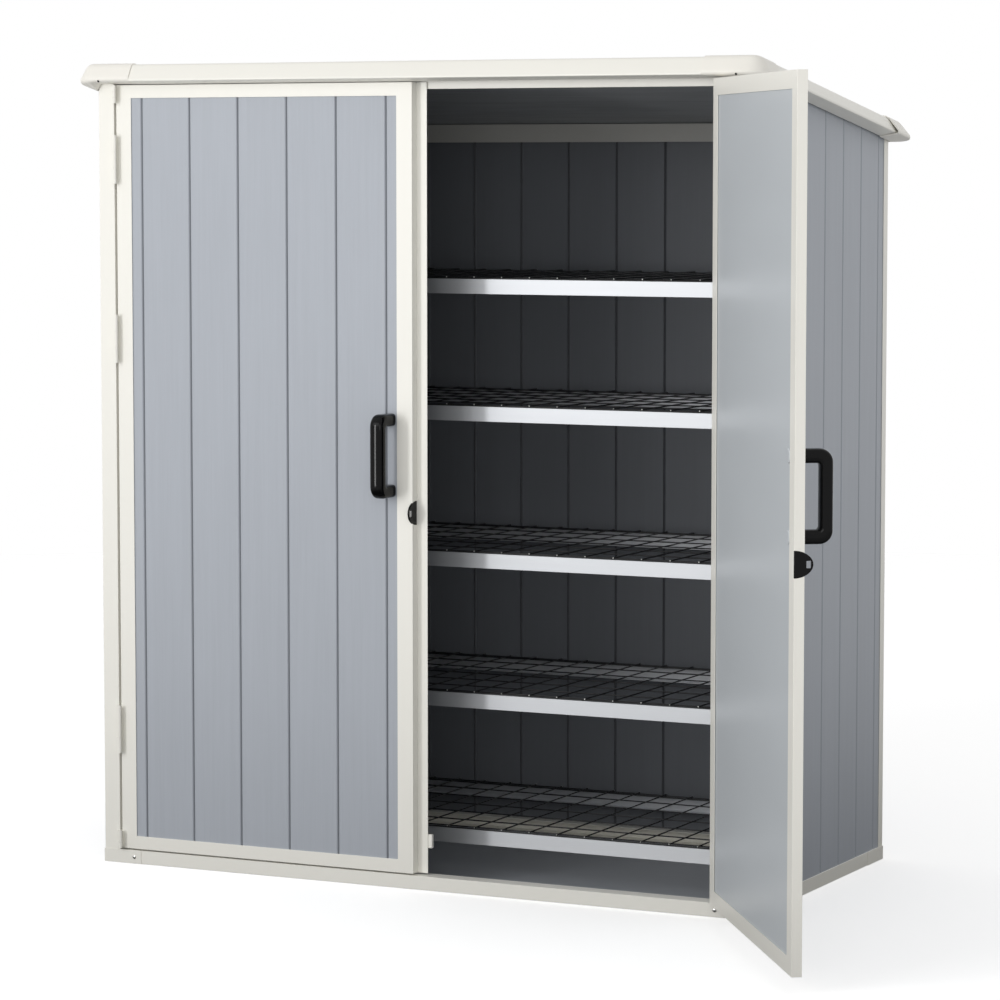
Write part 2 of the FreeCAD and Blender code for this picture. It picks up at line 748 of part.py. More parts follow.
def make_handle(side):
    """A moulded bow handle whose two feet stand on the outer sheet."""
    x = "%s * (%s + handle_offset) - handle_width / 2" % (side, DOOR_IN)
    face = "(%s + panel_recess)" % FRONT
    tip = "(%s - handle_reach)" % FRONT
    low = "handle_z - handle_height / 2"
    solid = box(x, tip, low, "handle_width", "%s - %s" % (face, tip), "handle_height")
    gap = box(
        "%s - cut_past" % x, "%s + handle_grip" % tip, "%s + handle_arm" % low,
        "handle_width + 2 * cut_past", "%s - %s - handle_grip + cut_past" % (face, tip),
        "handle_height - 2 * handle_arm",
    )
    bow = cut(solid, gap)
    doc.recompute()
    tip_y = -size("body_depth") / 2 - size("handle_reach")
    inner_y = tip_y + size("handle_grip")

    def crosswise(edge, y):
        extent = edge.BoundBox
        return extent.XLength > NEAR and abs(extent.YMin - y) < NEAR and abs(extent.YMax - y) < NEAR

    outer_edges = edge_numbers(bow.Shape, lambda edge: crosswise(edge, tip_y))
    inner_edges = edge_numbers(bow.Shape, lambda edge: crosswise(edge, inner_y))
    choices = [(number, size("handle_corner_radius")) for number in outer_edges]
    choices += [(number, size("handle_inner_radius")) for number in inner_edges]
    bent = fillet(bow, choices)
    doc.recompute()
    foot_y = -size("body_depth") / 2 + size("panel_recess")

    def along_side(edge):
        return edge.BoundBox.XLength < NEAR and edge.BoundBox.YMin < foot_y - NEAR

    edges = edge_numbers(bent.Shape, along_side)
    soft = fillet(bent, [(number, size("handle_edge_radius")) for number in edges])
    holes = [
        cylinder(
            "%s * (%s + handle_offset)" % (side, DOOR_IN), "%s - bolt_depth - cut_past" % face, level,
            "bolt_radius + bolt_clearance", "bolt_depth + 2 * cut_past", "Y",
        )
        for level in bolt_points()
    ]
    door_piece(side, cut(soft, *holes), "door_handle")


def make_handle_bolts(side):
    """Through-bolts with round washer heads on the inner sheet."""
    sheet_back = "(%s - panel_recess)" % DOOR_BACK
    start = "(%s + panel_recess - bolt_depth)" % FRONT
    bolts = []
    for level in bolt_points():
        across = "%s * (%s + handle_offset)" % (side, DOOR_IN)
        length = "%s - %s + washer_height / 2" % (sheet_back, start)
        shank = cylinder(across, start, level, "bolt_radius", length, "Y")
        washer = cylinder(across, sheet_back, level, "washer_radius", "washer_height", "Y")
        bolts.append(fuse(shank, washer))
    door_piece(side, group(*bolts), "door_handle_bolts")


def ear_plate(side, room=0, past=0):
    """Half of an ellipse of plate on the free edge of a door, whose chord lies at the door's back. Room
    makes it larger all round and past makes it longer towards the other door, for its notch."""
    half = size("latch_height") / 2 + room
    reach = size("door_thickness") + size("latch_reach") + room
    thick = size("latch_plate") + past
    edge = size("door_centre_gap") / 2 - past
    arc = Part.Ellipse(FreeCAD.Vector(0, 0, 0), reach, half)
    curve = Part.Arc(arc, -math.pi / 2, math.pi / 2).toShape()
    chord = Part.makeLine(curve.Vertexes[1].Point, curve.Vertexes[0].Point)
    face = Part.Face(Part.Wire([curve, chord]))
    plate = face.extrude(FreeCAD.Vector(0, 0, thick))
    matrix = FreeCAD.Matrix()
    matrix.A11, matrix.A12, matrix.A13 = 0, 0, 1
    matrix.A21, matrix.A22, matrix.A23 = -1, 0, 0
    matrix.A31, matrix.A32, matrix.A33 = 0, -1, 0
    matrix.A14 = edge if side > 0 else -edge - thick
    matrix.A24 = size("door_thickness") - size("body_depth") / 2
    matrix.A34 = size("latch_z")
    return plate.transformGeometry(matrix)


def make_latch(side):
    """A padlock ear that stands out of the stile, with a hole for the shackle."""
    past = size("cut_past")
    tip = -size("body_depth") / 2 - size("latch_reach")
    thick = size("latch_plate")
    x_low = size("door_centre_gap") / 2 if side > 0 else -size("door_centre_gap") / 2 - thick
    hole = Part.makeBox(
        thick + 2 * past, size("latch_hole_depth"), size("latch_hole_height"),
        FreeCAD.Vector(
            x_low - past, tip + size("latch_hole_setback"), size("latch_z") - size("latch_hole_height") / 2,
        ),
    )
    piece = doc.addObject("Part::Feature", "Ear")
    piece.Shape = ear_plate(side).cut(hole)
    door_piece(side, piece, "door_latch_ear")


def make_astragal():
    """The strip on the shut leaf that the other leaf closes against, and its catch plate."""
    seat = span_box(
        -1, DOOR_IN, "%s + astragal_seat" % DOOR_IN, DOOR_BACK, "%s + astragal_gauge" % DOOR_BACK,
        DOOR_Z0, DOOR_Z1,
    )
    lap = box(
        "0 - %s - cut_past" % DOOR_IN, "%s + astragal_step" % DOOR_BACK, DOOR_Z0,
        "astragal_lap + cut_past", "astragal_gauge - astragal_step", "door_height",
    )
    keep(fuse(seat, lap), "left_door_astragal")
    catch = box(
        "astragal_lap - %s + catch_proud - catch_width" % DOOR_IN, "%s + astragal_gauge" % DOOR_BACK,
        "catch_z - catch_height / 2", "catch_width", "catch_gauge", "catch_height",
    )
    keep(catch, "left_door_catch")


# Hinges

def hinge_rows():
    """Middle height and height of each hinge of a door, short ones at the two ends."""
    low = "%s + hinge_end_inset" % DOOR_Z0
    high = "%s - hinge_end_inset" % DOOR_Z1
    return [
        (low, "hinge_short_height"),
        ("%s + hinge_lower_rise" % DOOR_Z0, "hinge_height"),
        ("%s - hinge_middle_drop" % DOOR_Z1, "hinge_height"),
        ("%s - hinge_upper_drop" % DOOR_Z1, "hinge_height"),
        (high, "hinge_short_height"),
    ]


def barrel(side, z0, height):
    return cylinder("%s * %s" % (side, PIVOT_X), PIVOT_Y, z0, "hinge_barrel_radius", height)


def pin_bore(side, z0, height):
    return cylinder(
        "%s * %s" % (side, PIVOT_X), PIVOT_Y, "%s - cut_past" % z0,
        "hinge_pin_radius + hinge_pin_clearance", "%s + 2 * cut_past" % height,
    )


def bent_arm(side, inner, outer, z0, height):
    """The cranked end of a leaf: forwards from the gap between inner and outer, then in to the barrel."""
    front = "%s - hinge_leaf_gauge / 2" % PIVOT_Y
    behind = "%s + hinge_barrel_radius + hinge_leaf_clearance + hinge_leaf_gauge" % PIVOT_Y
    high = "(%s) + (%s)" % (z0, height)
    forward = span_box(side, inner, outer, front, behind, z0, high)
    across = span_box(side, PIVOT_X, outer, front, "%s + hinge_leaf_gauge / 2" % PIVOT_Y, z0, high)
    return [forward, across]


def make_frame_leaf(side, middle, height):
    """The leaf on the post, with the two outer knuckles."""
    knuckle = "(%s) / 3 - hinge_knuckle_gap / 2" % height
    low = "(%s) - (%s) / 2" % (middle, height)
    high = "(%s) + (%s) / 6 + hinge_knuckle_gap / 2" % (middle, height)
    outer = "body_width / 2 - post_width"
    y_clear = "%s + hinge_barrel_radius + hinge_leaf_clearance" % PIVOT_Y
    plate = span_box(
        side, "%s - hinge_leaf_gauge" % outer, outer, y_clear,
        "%s + hinge_leaf_depth" % PIVOT_Y, low, "(%s) + (%s) / 2" % (middle, height),
    )
    pieces = [plate]
    for z0 in (low, high):
        pieces += bent_arm(side, "%s - hinge_leaf_gauge" % outer, outer, z0, knuckle)
        pieces.append(barrel(side, z0, knuckle))
    return cut(fuse(*pieces), pin_bore(side, low, height))


def make_door_leaf(side, middle, height):
    """The leaf on the door edge, with the middle knuckle."""
    knuckle = "(%s) / 3 - hinge_knuckle_gap" % height
    low = "(%s) - (%s) / 6 + hinge_knuckle_gap / 2" % (middle, height)
    y_clear = "%s + hinge_barrel_radius + hinge_leaf_clearance" % PIVOT_Y
    plate = span_box(
        side, DOOR_OUT, "%s + hinge_leaf_gauge" % DOOR_OUT, y_clear,
        "%s + hinge_leaf_depth" % PIVOT_Y,
        "(%s) - (%s) / 2" % (middle, height), "(%s) + (%s) / 2" % (middle, height),
    )
    arm = bent_arm(side, DOOR_OUT, "%s + hinge_leaf_gauge" % DOOR_OUT, low, knuckle)
    return cut(fuse(plate, *arm, barrel(side, low, knuckle)), pin_bore(side, low, knuckle))


def make_hinges():
    frame_leaves = []
    pins = []
    for side in (-1, 1):
        door_leaves = []
        for middle, height in hinge_rows():
            frame_leaves.append(make_frame_leaf(side, middle, height))
            door_leaves.append(make_door_leaf(side, middle, height))
            low = "(%s) - (%s) / 2" % (middle, height)
            shank = cylinder("%s * %s" % (side, PIVOT_X), PIVOT_Y, low, "hinge_pin_radius", height)
            head = cylinder(
                "%s * %s" % (side, PIVOT_X), PIVOT_Y, "(%s) + (%s)" % (low, height),
                "hinge_barrel_radius", "hinge_pin_head",
            )
            pins.append(fuse(shank, head))
        door_piece(side, group(*door_leaves), "hinge_door_leaves")
    keep(group(*frame_leaves), "hinge_frame_leaves")
    keep(group(*pins), "hinge_pins")


# Shelving

def make_uprights():
    """Angle uprights that carry the shelf beams, standing on the base rails. The two at the back are
    one pattern and share a node."""
    top = "shelf_fifth_z + upright_head"
    outer_x = "(%s + upright_width)" % SHELF_HALF
    back_pair = []
    for side, side_name in ((-1, "left"), (1, "right")):
        for end in (-1, 1):
            y0 = SHELF_FRONT if end < 0 else "%s - upright_width" % SHELF_BACK
            y1 = "%s + upright_width" % SHELF_FRONT if end < 0 else SHELF_BACK
            in0 = "%s + profile_gauge" % y0 if end < 0 else "%s - cut_past" % y0
            in1 = "%s + cut_past" % y1 if end < 0 else "%s - profile_gauge" % y1
            body = span_box(side, SHELF_HALF, outer_x, y0, y1, "base_height", top)
            hollow = span_box(
                side, "%s + profile_gauge" % SHELF_HALF, "%s + cut_past" % outer_x, in0, in1,
                "0", "%s + cut_past" % top,
            )
            if end < 0:
                keep(cut(body, hollow), "shelf_upright_front_%s" % side_name)
            else:
                back_pair.append(cut(body, hollow))
    keep(group(*back_pair), "shelf_uprights_back")


def beam(level, end):
    """A channel beam between two uprights, open to the inside of the shelf."""
    y0 = SHELF_FRONT if end < 0 else "%s - beam_depth" % SHELF_BACK
    in_y = "%s + profile_gauge" % y0 if end < 0 else "%s - cut_past" % y0
    half = "(%s - seat_gap)" % SHELF_HALF
    solid = box("0 - %s" % half, y0, "%s - beam_height" % level, "2 * %s" % half, "beam_depth", "beam_height")
    hollow = box(
        "0 - %s - cut_past" % half, in_y, "%s - beam_height + profile_gauge" % level,
        "2 * (%s + cut_past)" % half, "beam_depth - profile_gauge + cut_past",
        "beam_height - 2 * profile_gauge",
    )
    return cut(solid, hollow)


def make_deck(name, level):
    """A welded wire deck, as one holed plate lying on the two beams."""
    half = size("body_width") / 2 - size("shelf_end_inset") - size("seat_gap") - size("deck_end_gap")
    front = size("shelf_setback") - size("body_depth") / 2
    depth = size("body_depth") - size("shelf_setback") - size("shelf_back_gap")
    wire = size("deck_gauge")
    columns = max(1, round((2 * half - wire) / size("deck_wire_pitch")))
    rows = max(1, round((depth - wire) / size("deck_row_pitch")))
    step_x = (2 * half - wire) / columns
    step_y = (depth - wire) / rows
    z = size(level)

    def outline(x0, y0, x1, y1):
        corners = ((x0, y0), (x1, y0), (x1, y1), (x0, y1), (x0, y0))
        return Part.makePolygon([FreeCAD.Vector(x, y, z) for x, y in corners])

    wires = [outline(-half, front, half, front + depth)]
    for column in range(columns):
        for row_index in range(rows):
            x0 = -half + wire + column * step_x
            y0 = front + wire + row_index * step_y
            wires.append(outline(x0, y0, x0 + step_x - wire, y0 + step_y - wire))
    deck = doc.addObject("Part::Feature", "Deck")
    deck.Shape = Part.Face(wires, "Part::FaceMakerBullseye").extrude(FreeCAD.Vector(0, 0, wire))
    keep(deck, name + "_deck")


def make_shelves():
    back_beams = []
    for name, level in SHELF_LEVELS:
        keep(beam(level, -1), name + "_front_beam")
        back_beams.append(beam(level, 1))
        make_deck(name, level)
    keep(group(*back_beams), "shelf_back_beams")


def build():
    make_base()
    make_base_corners()
    make_floor()
    make_posts()
    make_header()
    make_rear_rail()
    make_walls()
    make_roof()
    make_roof_trims()
    make_roof_caps()
    make_frame_screws()
    for side in (-1, 1):
        make_door_frame(side)
        make_door_panels(side)
        make_handle(side)
        make_handle_bolts(side)
        make_latch(side)
    make_astragal()
    make_hinges()
    make_uprights()
    make_shelves()
    doc.recompute()


def check():
    """Every object is sound, and every sub-part has a closed, valid shape."""
    for item in doc.Objects:
        if "Invalid" in item.State or "Error" in item.State:
            raise RuntimeError("%s (%s) did not build: %s" % (item.Label, item.Name, item.State))
    for piece in parts:
        shape = piece.Shape
        if shape.isNull() or not shape.isValid() or not shape.Solids:
            raise RuntimeError("%s has no valid solid" % piece.Label)


def export():
    os.makedirs("parts", exist_ok=True)
    for piece in parts:
        piece.Shape.exportStep(os.path.join("parts", piece.Label + ".step"))
        print("%-28s solids %2d  volume %12.1f" % (piece.Label, len(piece.Shape.Solids), piece.Shape.Volume))
    print("nodes", len(parts))


build()
check()
export()
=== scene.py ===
import json
import math

import bpy
from mathutils import Matrix, Vector


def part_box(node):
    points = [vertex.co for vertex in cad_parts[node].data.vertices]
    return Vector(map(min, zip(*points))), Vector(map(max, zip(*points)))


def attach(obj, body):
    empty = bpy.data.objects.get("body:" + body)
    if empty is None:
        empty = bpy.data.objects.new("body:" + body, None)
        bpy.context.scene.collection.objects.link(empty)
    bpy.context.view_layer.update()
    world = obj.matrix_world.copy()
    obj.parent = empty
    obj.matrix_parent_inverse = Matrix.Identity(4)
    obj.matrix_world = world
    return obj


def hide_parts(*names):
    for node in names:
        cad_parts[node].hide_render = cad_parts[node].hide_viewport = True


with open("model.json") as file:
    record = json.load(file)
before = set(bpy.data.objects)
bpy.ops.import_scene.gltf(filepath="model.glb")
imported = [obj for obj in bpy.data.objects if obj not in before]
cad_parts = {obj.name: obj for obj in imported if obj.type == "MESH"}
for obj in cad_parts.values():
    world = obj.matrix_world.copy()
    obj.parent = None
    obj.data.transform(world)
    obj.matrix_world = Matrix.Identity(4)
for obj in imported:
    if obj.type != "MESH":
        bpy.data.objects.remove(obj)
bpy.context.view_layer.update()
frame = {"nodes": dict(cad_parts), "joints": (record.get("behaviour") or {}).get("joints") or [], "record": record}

# Garden storage cabinet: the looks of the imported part. Everything is in metres, in the part's own frame.

nodes = frame["nodes"]
joints = {joint["name"]: joint for joint in frame["joints"]}
MM = 0.001


# Node trees

# The numbered sockets of a colour Mix node: its share, its two colours and its result.
MIX_SHARE, MIX_FIRST, MIX_SECOND, MIX_RESULT = 0, 6, 7, 2


class Tree:
    """The node tree of a material or world, with short ways to add nodes and to link or set sockets."""

    def __init__(self, owner):
        owner.use_nodes = True
        self.links = owner.node_tree.links
        self.nodes = owner.node_tree.nodes

    def put(self, value, socket):
        """Links a socket to another node's output, or sets its own value."""
        if isinstance(value, bpy.types.NodeSocket):
            self.links.new(value, socket)
        else:
            socket.default_value = value

    def add(self, kind, data_type=None, **sockets):
        node = self.nodes.new(kind)
        if data_type:
            node.data_type = data_type
        for name, value in sockets.items():
            self.put(value, node.inputs[name])
        return node

    def operate(self, kind, operation, *values):
        node = self.nodes.new(kind)
        node.operation = operation
        for index, value in enumerate(values):
            self.put(value, node.inputs[index])
        return node

    def number(self, operation, *values):
        return self.operate("ShaderNodeMath", operation, *values).outputs["Value"]

    def vector(self, operation, *values):
        return self.operate("ShaderNodeVectorMath", operation, *values)

    def ramp(self, value, start, end, low, high, course="LINEAR"):
        """A number that goes from low to high while the value goes from start to end."""
        node = self.add(
            "ShaderNodeMapRange",
            **{"Value": value, "From Min": start, "From Max": end, "To Min": low, "To Max": high},
        )
        node.interpolation_type = course
        return node.outputs["Result"]

    def blend(self, share, first, second):
        """A colour between two others."""
        node = self.add("ShaderNodeMix", data_type="RGBA")
        self.put(share, node.inputs[MIX_SHARE])
        self.put(first, node.inputs[MIX_FIRST])
        self.put(second, node.inputs[MIX_SECOND])
        return node.outputs[MIX_RESULT]


# Finishes

# Depths below a board sheet's face at which the painted shade of a groove begins and is darkest, and its tone. The
# grooves' shade is painted into their colour.
GROOVE_SHADE_START = 1.1 * MM
GROOVE_SHADE_FULL = 2.4 * MM
GROOVE_SHADE_TONE = 0.5

NOISE_DETAIL = 5.0
NOISE_BLEND = 0.6
INWARD_ENOUGH = 0.2     # how far a face has to point inwards to have the painted inside shade


def linear(colour):
    """A colour written as three numbers up to 255, as the shader wants it."""
    parts = [c / 255 for c in colour]
    return tuple(c / 12.92 if c <= 0.04045 else ((c + 0.055) / 1.055) ** 2.4 for c in parts) + (1.0,)


class Finish(Tree):
    """A painted, plastic or metal finish. Layers of stretched noise vary its tone and its relief, and the
    first one its roughness. Each layer is (features per metre along x, y and z, share of tone, relief in
    metres). A board sheet has painted shade on its inward side, a darker colour standing for the shade inside
    the cabinet, and painted shade in the grooves below its face, which is given as an outward direction and a
    distance along it."""

    def __init__(
        self, name, colour, layers, rough, metallic=0.0, specular=0.5, inside_shade=None, inward=None, face=None,
    ):
        self.material = bpy.data.materials.new(name)
        super().__init__(self.material)
        shader = self.nodes["Principled BSDF"]
        shader.inputs["Metallic"].default_value = metallic
        shader.inputs["Specular IOR Level"].default_value = specular
        place = self.add("ShaderNodeTexCoord").outputs["Object"]
        tone, relief, first = 1.0, 0.0, None
        for features, share, height in layers:
            scaled = self.add("ShaderNodeMapping", Vector=place, Scale=features).outputs["Vector"]
            noise = self.add(
                "ShaderNodeTexNoise", Vector=scaled, Scale=1.0, Detail=NOISE_DETAIL, Roughness=NOISE_BLEND,
            )
            centred = self.number("SUBTRACT", noise.outputs["Fac"], 0.5)
            first = first or centred
            tone = self.number("MULTIPLY_ADD", centred, 2 * share, tone)
            relief = self.number("MULTIPLY_ADD", centred, height, relief)
        # Painted shade in the grooves: the colour darkens with depth below the board's face, standing for the
        # shade that falls in them.
        if face:
            outward, distance = face
            height = self.vector("DOT_PRODUCT", place, outward).outputs["Value"]
            groove_shade = self.ramp(height, distance - GROOVE_SHADE_FULL, distance - GROOVE_SHADE_START, GROOVE_SHADE_TONE, 1.0)
            tone = self.number("MULTIPLY", tone, groove_shade)
        base = linear(colour)
        painted = base[:3]
        # Faces that point inwards get painted shade: a darker colour standing for the shade inside the cabinet.
        if inside_shade:
            facing = self.add("ShaderNodeNewGeometry").outputs["True Normal"]
            turned = self.vector("DOT_PRODUCT", facing, inward).outputs["Value"]
            inward_shade_mask = self.number("GREATER_THAN", turned, INWARD_ENOUGH)
            painted = self.blend(inward_shade_mask, base, linear(inside_shade))
        shaded = self.vector("SCALE", painted)
        self.put(tone, shaded.inputs["Scale"])
        self.put(shaded.outputs["Vector"], shader.inputs["Base Color"])
        smoothest, roughest = rough
        middle = (smoothest + roughest) / 2
        spread = self.number("MULTIPLY_ADD", first, roughest - smoothest, middle)
        self.put(spread, shader.inputs["Roughness"])
        bump = self.add("ShaderNodeBump", Height=relief, Distance=1.0, Strength=1.0)
        self.put(bump.outputs["Normal"], shader.inputs["Normal"])


def finish(name, colour, layers, rough, **more):
    """A slot's name with its material."""
    return name, Finish(name, colour, layers, rough, **more).material


BOARD = (172, 177, 185)
# Painted shade for the inward faces of the walls and roof: colours darker than the boards, standing for the shade
# inside the cabinet.
WALL_INSIDE_SHADE = (106, 109, 114)
ROOF_INSIDE_SHADE = (166, 169, 172)
UPRIGHT_GRAIN = [((420, 420, 5), 0.06, 0.00014), ((90, 90, 2.2), 0.05, 0.00012), ((6, 6, 3), 0.045, 0)]
ROOF_GRAIN = [((9, 420, 420), 0.08, 0.00014), ((5, 60, 60), 0.3, 0.00012), ((3, 20, 20), 0.12, 0)]
PAINT_SKIN = [((260, 260, 260), 0.006, 0.00001), ((4, 4, 3), 0.012, 0)]
# The inner sheet's first layer is painted sheen: soft horizontal bands of lighter and darker tone, standing for
# blurred reflections. Its second layer is a fine relief.
SHEET_SHEEN_AND_SKIN = [((2, 2, 7), 0.025, 0), ((40, 40, 40), 0.004, 0.000004)]
FLOOR_SKIN = [((5, 60, 5), 0.03, 0), ((240, 240, 240), 0.01, 0.00001)]
ROLLED_STEEL = [((6, 700, 700), 0.06, 0.00002), ((3, 60, 60), 0.03, 0)]
MOULDED_SKIN = [((220, 220, 220), 0.08, 0.000002), ((20, 20, 20), 0.06, 0)]
CAP_SKIN = [((500, 500, 500), 0.008, 0.00002), ((9, 9, 9), 0.01, 0)]
BOARD_ROUGH = (0.38, 0.56)

FINISHES = dict([
    finish("cream_paint", (243, 241, 233), PAINT_SKIN, (0.3, 0.42)),
    finish("hinge_paint", (242, 240, 232), PAINT_SKIN, (0.3, 0.42)),
    finish("inner_sheet", (204, 209, 213), SHEET_SHEEN_AND_SKIN, (0.3, 0.36)),
    finish("rear_rail_paint", (184, 183, 178), PAINT_SKIN, (0.35, 0.5)),
    finish("floor_sheet", (182, 186, 192), FLOOR_SKIN, (0.3, 0.45)),
    finish("silver_steel", (198, 200, 203), ROLLED_STEEL, (0.46, 0.6), metallic=1.0),
    finish("black_wire", (26, 27, 29), [((300, 300, 300), 0.1, 0.00002)], (0.3, 0.45)),
    finish("black_plastic", (8, 8, 9), MOULDED_SKIN, (0.05, 0.09), specular=0.14),
    finish("cap_plastic", (243, 240, 232), CAP_SKIN, (0.36, 0.48)),
    finish("screw_steel", (214, 214, 210), [((900, 900, 900), 0.05, 0.00001)], (0.22, 0.36), metallic=1.0),
])

# Where the right door is drawn: swung open about its hinge from the shut position.
RIGHT_HINGE = joints["right_door_hinge"]
OPEN = math.radians(-RIGHT_HINGE["range_deg"][0])
PIVOT = Vector(RIGHT_HINGE["pos_m"])
PIVOT.z = 0
TURN = Matrix.Rotation(OPEN, 4, "Z")
SWING = Matrix.Translation(PIVOT) @ TURN @ Matrix.Translation(-PIVOT)


def boards(name, outward, **inside_shade):
    """The paint of one board sheet, whose face is the part of it that lies furthest outwards."""
    outward = Vector(outward)
    distance = max(vertex.co.dot(outward) for vertex in nodes[name].data.vertices)
    face = (tuple(outward), distance)
    return name, Finish(name + "_paint", BOARD, UPRIGHT_GRAIN, BOARD_ROUGH, face=face, **inside_shade).material


SHEETS = dict([
    boards("left_door_outer_panel", (0, -1, 0)),
    boards("right_door_outer_panel", TURN @ Vector((0, -1, 0))),
    boards("left_wall_panel", (-1, 0, 0), inside_shade=WALL_INSIDE_SHADE, inward=(1, 0, 0)),
    boards("right_wall_panel", (1, 0, 0), inside_shade=WALL_INSIDE_SHADE, inward=(-1, 0, 0)),
    boards("back_wall_panel", (0, 1, 0), inside_shade=WALL_INSIDE_SHADE, inward=(0, -1, 0)),
])
SHEETS["roof_panel"] = Finish(
    "roof_panel_paint", BOARD, ROOF_GRAIN, BOARD_ROUGH, inside_shade=ROOF_INSIDE_SHADE, inward=(0, 0, -1),
).material

for entry in frame["record"]["subparts"]:
    name = entry["node"]
    for socket in nodes[name].material_slots:
        socket.material = SHEETS.get(name) or FINISHES[entry["material_slot"]]


# Making pieces. A form is a pair: its points, and its faces as tuples of their numbers.

def piece(name, form, body, slot, replaced=(), sharp=35, second=None, marks=None):
    """A finished mesh that rides on a body and stands for the CAD nodes named. A mark of 1 gives a face
    the second slot's finish."""
    points, faces = form
    mesh = bpy.data.meshes.new(name)
    mesh.from_pydata([tuple(p) for p in points], [], faces)
    mesh.materials.append(FINISHES[slot])
    if second:
        mesh.materials.append(FINISHES[second])
        mesh.polygons.foreach_set("material_index", marks)
    mesh.shade_smooth()
    mesh.set_sharp_from_angle(angle=math.radians(sharp))
    mesh.validate()
    item = bpy.data.objects.new(name, mesh)
    bpy.context.scene.collection.objects.link(item)
    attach(item, body)
    if replaced:
        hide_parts(*replaced)


def skin(rings, closed_ends=True):
    """The form of a tube whose rings of points follow each other."""
    count = len(rings[0])
    faces = []
    for ring in range(len(rings) - 1):
        low, high = ring * count, (ring + 1) * count
        for index in range(count):
            after = (index + 1) % count
            faces.append((low + index, low + after, high + after, high + index))
    if closed_ends:
        last = (len(rings) - 1) * count
        faces.append(tuple(reversed(range(count))))
        faces.append(tuple(range(last, last + count)))
    return [p for ring in rings for p in ring], faces


def turned_form(start, axis, profile, sides):
    """A form turned about an axis: the profile is a list of (height along the axis, radius)."""
    across = axis.orthogonal().normalized()
    third = axis.cross(across)
    rings = []
    for height, radius in profile:
        ring = []
        for index in range(sides):
            angle = 2 * math.pi * index / sides
            spoke = across * math.cos(angle) + third * math.sin(angle)
            ring.append(Vector(start) + axis * height + spoke * radius)
        rings.append(ring)
    return skin(rings)


def rod(start, end, radius, sides=10, chamfer=0.35):
    """A straight wire with softened ends."""
    start, end = Vector(start), Vector(end)
    length = (end - start).length
    soft = radius * chamfer
    tip = radius * (1 - chamfer)
    profile = [(0, tip), (soft, radius), (length - soft, radius), (length, tip)]
    return turned_form(start, (end - start).normalized(), profile, sides)


def lathe(centre, axis, profile_mm, sides=40):
    """A small turned form, whose profile is in millimetres."""
    profile = [(height * MM, radius * MM) for height, radius in profile_mm]
    return turned_form(centre, Vector(axis).normalized(), profile, sides)


def together(forms):
    points, faces = [], []
    for form_points, form_faces in forms:
        start = len(points)
        points += form_points
        faces += [tuple(start + index for index in face) for face in form_faces]
    return points, faces


def flipped(form):
    points, faces = form
    return points, [tuple(reversed(face)) for face in faces]


def on_door(side, form):
    """A form made for a shut door at the left: kept there, or mirrored and swung open at the right."""
    if side == "left":
        return form
    points, faces = flipped(form)
    return [SWING @ Vector((-p[0], p[1], p[2])) for p in points], faces


# Handles: a bow with round shoulders and a flattened round section, narrower towards its feet

GRIP_DEPTH = 26 * MM
ARM_HEIGHT = 28 * MM
OUTER_BEND = 26 * MM
INNER_BEND = 6 * MM
FOOT_LENGTH = 4 * MM        # the straight part of an arm next to the door
ARM_LEAD = 6 * MM           # the straight part of an arm before its shoulder
FOOT_TAPER = 0.12           # the share of its width that the bow loses towards the door
SECTION_POWER = 3.4         # 2 would make the section an ellipse, and more makes it squarer
BEND_STEPS = 12
GRIP_STEPS = 14
BOW_SIDES = 32


def shoulder(radius, centre_y, centre_z):
    """Points of a quarter turn from an arm's line into the grip's."""
    line = []
    for step in range(BEND_STEPS + 1):
        angle = math.pi / 2 * step / BEND_STEPS
        line.append((centre_y - radius * math.sin(angle), centre_z - radius * math.cos(angle)))
    return line


def bow_lines(tip, face, half_height):
    """Pairs of points on the bow's outer and inner line, from the lower foot round to the upper one."""
    outer_z, inner_z = -half_height, ARM_HEIGHT - half_height
    outside = [(face, outer_z), (face - FOOT_LENGTH, outer_z), (tip + OUTER_BEND + ARM_LEAD, outer_z)]
    outside += shoulder(OUTER_BEND, tip + OUTER_BEND, OUTER_BEND + outer_z)
    inner_tip = tip + GRIP_DEPTH
    inward_shade_mask = [(face, inner_z), (face - FOOT_LENGTH, inner_z), (inner_tip + INNER_BEND + ARM_LEAD, inner_z)]
    inward_shade_mask += shoulder(INNER_BEND, inner_tip + INNER_BEND, INNER_BEND + inner_z)
    lower = list(zip(outside, inward_shade_mask))
    outer_end, inner_end = outside[-1][1], inward_shade_mask[-1][1]
    grip = []
    for row in range(1, GRIP_STEPS):
        level = 1 - 2 * row / GRIP_STEPS
        grip.append(((tip, outer_end * level), (inner_tip, inner_end * level)))
    upper = [((a[0], -a[1]), (b[0], -b[1])) for a, b in reversed(lower[:-1])]
    return lower + grip + upper


def rounded_power(value):
    return math.copysign(abs(value) ** (2 / SECTION_POWER), value)


def handle_form(low, high):
    middle = (low + high) / 2
    half_width = (high.x - low.x) / 2
    half_height = (high.z - low.z) / 2
    tip, face = low.y, high.y
    rings = []
    for (out_y, out_z), (in_y, in_z) in bow_lines(tip, face, half_height):
        mid_y, mid_z = (out_y + in_y) / 2, (out_z + in_z) / 2
        back = max(0, min(1, (mid_y - tip) / (face - tip)))
        ring = []
        for index in range(BOW_SIDES):
            angle = 2 * math.pi * index / BOW_SIDES
            across = half_width * (1 - FOOT_TAPER * back) * rounded_power(math.cos(angle))
            over = rounded_power(math.sin(angle))
            ring.append(Vector((
                middle.x + across, mid_y + (out_y - mid_y) * over, middle.z + mid_z + (out_z - mid_z) * over,
            )))
        rings.append(ring)
    return skin(rings)


bow = handle_form(*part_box("left_door_handle"))
for side in ("left", "right"):
    piece(
        side + "_handle_bow", on_door(side, bow), side + "_door", "black_plastic", [side + "_door_handle"],
        sharp=50,
    )


